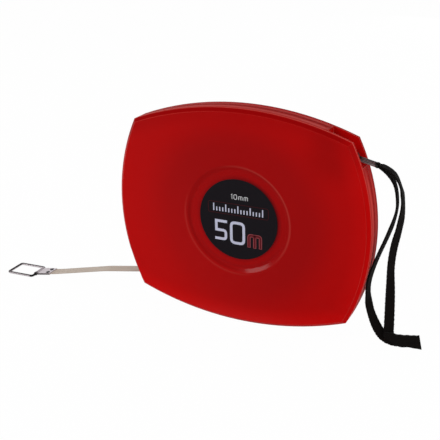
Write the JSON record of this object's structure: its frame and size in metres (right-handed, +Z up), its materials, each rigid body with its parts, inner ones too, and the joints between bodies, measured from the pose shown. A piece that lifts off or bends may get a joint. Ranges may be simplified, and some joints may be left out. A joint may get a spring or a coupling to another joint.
{
  "type": "surveyor tape reel",
  "caption": "Closed-case long steel tape on a wound drum: folding crank in the rear, mouth for the tape with its end ring, and a wrist strap on a wire bail.",
  "frame": {"origin": "where the drum's axis meets the plane of the flat front face", "axes": "+X towards the wrist strap, +Y from the front face to the rear, +Z up as the reel stands on its lower edge"},
  "size_m": [0.334, 0.0229, 0.1564],
  "materials": {
    "case_red": "gloss",
    "label_black": "satin",
    "zinc_steel": "satin",
    "hub_moulding": "satin",
    "coated_tape": "satin",
    "crank_black": "gloss",
    "knob_black": "satin",
    "bright_chrome": "gloss",
    "webbing_black": "woven"
  },
  "bodies": {
    "case": {"front_cover": "case_red", "rear_cover": "case_red", "label_disc": "label_black", "case_screws": "zinc_steel", "lower_guide_pin": "zinc_steel", "upper_guide_pin": "zinc_steel", "axle_pin": "zinc_steel", "axle_washer": "zinc_steel", "axle_screw": "zinc_steel", "strap_pin": "zinc_steel", "tape_lead": "coated_tape"},
    "drum": {"drum_hub": "hub_moulding", "front_flange": "zinc_steel", "rear_flange": "zinc_steel", "flange_rivets": "zinc_steel", "tape_coil": "coated_tape", "crank_plate": "crank_black", "plate_screws": "zinc_steel", "crank_hinge_pin": "zinc_steel"},
    "crank": {"crank_arm": "bright_chrome", "knob_rivet": "zinc_steel"},
    "knob": {"crank_knob": "knob_black"},
    "tape": {"tape_blade": "coated_tape", "tape_end_clamp": "bright_chrome", "clamp_rivets": "zinc_steel"},
    "ring": {"end_ring": "bright_chrome"},
    "bail": {"strap_bail": "zinc_steel"},
    "strap": {"strap_fold": "webbing_black", "strap_outer_run": "webbing_black", "strap_inner_run": "webbing_black", "strap_stub": "webbing_black"}
  },
  "joints": [
    {"name": "drum_spin", "type": "hinge", "parent": "case", "child": "drum", "pos_m": [0, 0.0103, 0], "axis": [0, -1, 0], "range_deg": [0, 36.8]},
    {"name": "tape_wind", "type": "slide", "parent": "case", "child": "tape", "axis": [0.9848, 0, 0.1736], "range_m": [0, 0.04], "deforming": ["tape_lead"]},
    {"name": "crank_fold", "type": "hinge", "parent": "drum", "child": "crank", "pos_m": [0.0194, 0.02075, 0], "axis": [0, 0, -1], "range_deg": [0, 180]},
    {"name": "knob_spin", "type": "hinge", "parent": "crank", "child": "knob", "pos_m": [-0.014, 0.01435, 0], "axis": [0, 1, 0], "continuous": true},
    {"name": "ring_fold", "type": "hinge", "parent": "tape", "child": "ring", "pos_m": [-0.18331, 0.0103, -0.07675], "axis": [0, 1, 0], "range_deg": [-120, 150]},
    {"name": "bail_swing", "type": "hinge", "parent": "case", "child": "bail", "pos_m": [0.078, 0.0103, 0.0522], "axis": [0, -1, 0], "range_deg": [0, 80]},
    {"name": "strap_swing", "type": "hinge", "parent": "bail", "child": "strap", "pos_m": [0.09359, 0.0103, 0.0486], "axis": [0, -1, 0], "range_deg": [0, 60]}
  ],
  "couplings": [
    {"joint": "tape_wind", "follows": "drum_spin", "m_per_rad": 0.06215}
  ]
}
